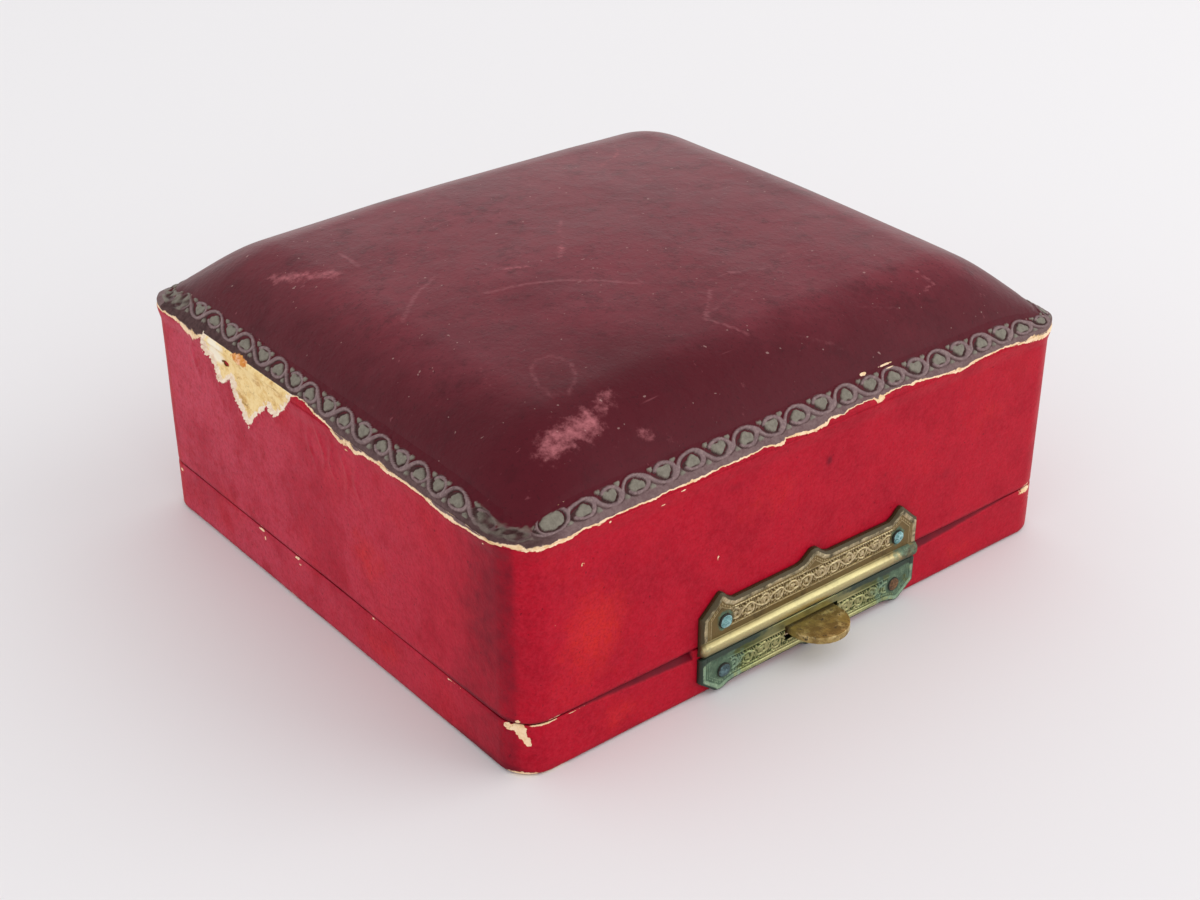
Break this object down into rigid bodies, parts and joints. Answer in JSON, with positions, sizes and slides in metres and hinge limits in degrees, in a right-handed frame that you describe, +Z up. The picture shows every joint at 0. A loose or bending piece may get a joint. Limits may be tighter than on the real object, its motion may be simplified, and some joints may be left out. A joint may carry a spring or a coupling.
{
  "type": "button set case",
  "caption": "Small hinged presentation case with a padded leather top, a nailed stamped brass clasp with a thumb catch, and a velvet pad with round seats inside.",
  "frame": {"origin": "under the middle of the case, on the surface it stands on", "axes": "+Z up, -Y towards the clasp at the front, +Y towards the hinges, +X to the right as seen from the front"},
  "size_m": [0.098, 0.0965, 0.0456],
  "materials": {
    "red_leather": "red grained leather covering, satin, worn at the edges",
    "dark_red_leather": "dark red domed leather, satin, with a tooled vine border",
    "softwood": "bare light wood",
    "pasteboard": "brown pasteboard",
    "underpaper": "aged cream paper",
    "velvet": "dark red velvet",
    "cream_silk": "aged cream silk",
    "cotton_wadding": "cotton wadding",
    "stamped_brass": "stamped brass, tarnished",
    "nail_brass": "brass with verdigris",
    "iron_wire": "dull iron wire",
    "spring_steel": "flat spring steel"
  },
  "bodies": {
    "base": {"base_underpaper": "underpaper", "base_board": "pasteboard", "base_front_rail": "softwood", "base_back_rail": "softwood", "base_left_rail": "softwood", "base_right_rail": "softwood", "base_cover": "red_leather", "base_collar": "velvet", "seat_block": "softwood", "seat_pad": "velvet", "clasp_base_plate": "stamped_brass", "clasp_nail_base_left": "nail_brass", "clasp_nail_base_right": "nail_brass", "catch_pin": "iron_wire", "catch_spring": "spring_steel", "base_hinge_leaf_left": "stamped_brass", "base_hinge_leaf_right": "stamped_brass", "base_leaf_nail_left_left": "nail_brass", "base_leaf_nail_left_right": "nail_brass", "base_leaf_nail_right_left": "nail_brass", "base_leaf_nail_right_right": "nail_brass", "hinge_pin_left": "nail_brass", "hinge_pin_right": "nail_brass"},
    "thumb_catch": {"thumb_catch": "stamped_brass"},
    "lid": {"lid_front_rail": "softwood", "lid_back_rail": "softwood", "lid_left_rail": "softwood", "lid_right_rail": "softwood", "lid_panel": "pasteboard", "lid_padding": "cotton_wadding", "lid_top_leather": "dark_red_leather", "lid_side_cover": "red_leather", "lid_side_lining": "cream_silk", "lid_lining_cushion": "cream_silk", "clasp_lid_plate": "stamped_brass", "clasp_nail_lid_left": "nail_brass", "clasp_nail_lid_right": "nail_brass", "clasp_keeper": "stamped_brass", "lid_hinge_leaf_left": "stamped_brass", "lid_hinge_leaf_right": "stamped_brass", "lid_leaf_nail_left_left": "nail_brass", "lid_leaf_nail_left_right": "nail_brass", "lid_leaf_nail_right_left": "nail_brass", "lid_leaf_nail_right_right": "nail_brass"}
  },
  "joints": [
    {"name": "lid_hinge", "type": "hinge", "parent": "base", "child": "lid", "pos_m": [0, 0.0445, 0.00775], "axis": [-1, 0, 0], "range_deg": [0, 95]},
    {"name": "thumb_catch_pivot", "type": "hinge", "parent": "base", "child": "thumb_catch", "pos_m": [0, -0.0422, 0.0043], "axis": [1, 0, 0], "range_deg": [0, 12], "stiffness_Nm_per_rad": 0.05, "springref_deg": -9.74, "deforming": ["catch_spring"]}
  ]
}
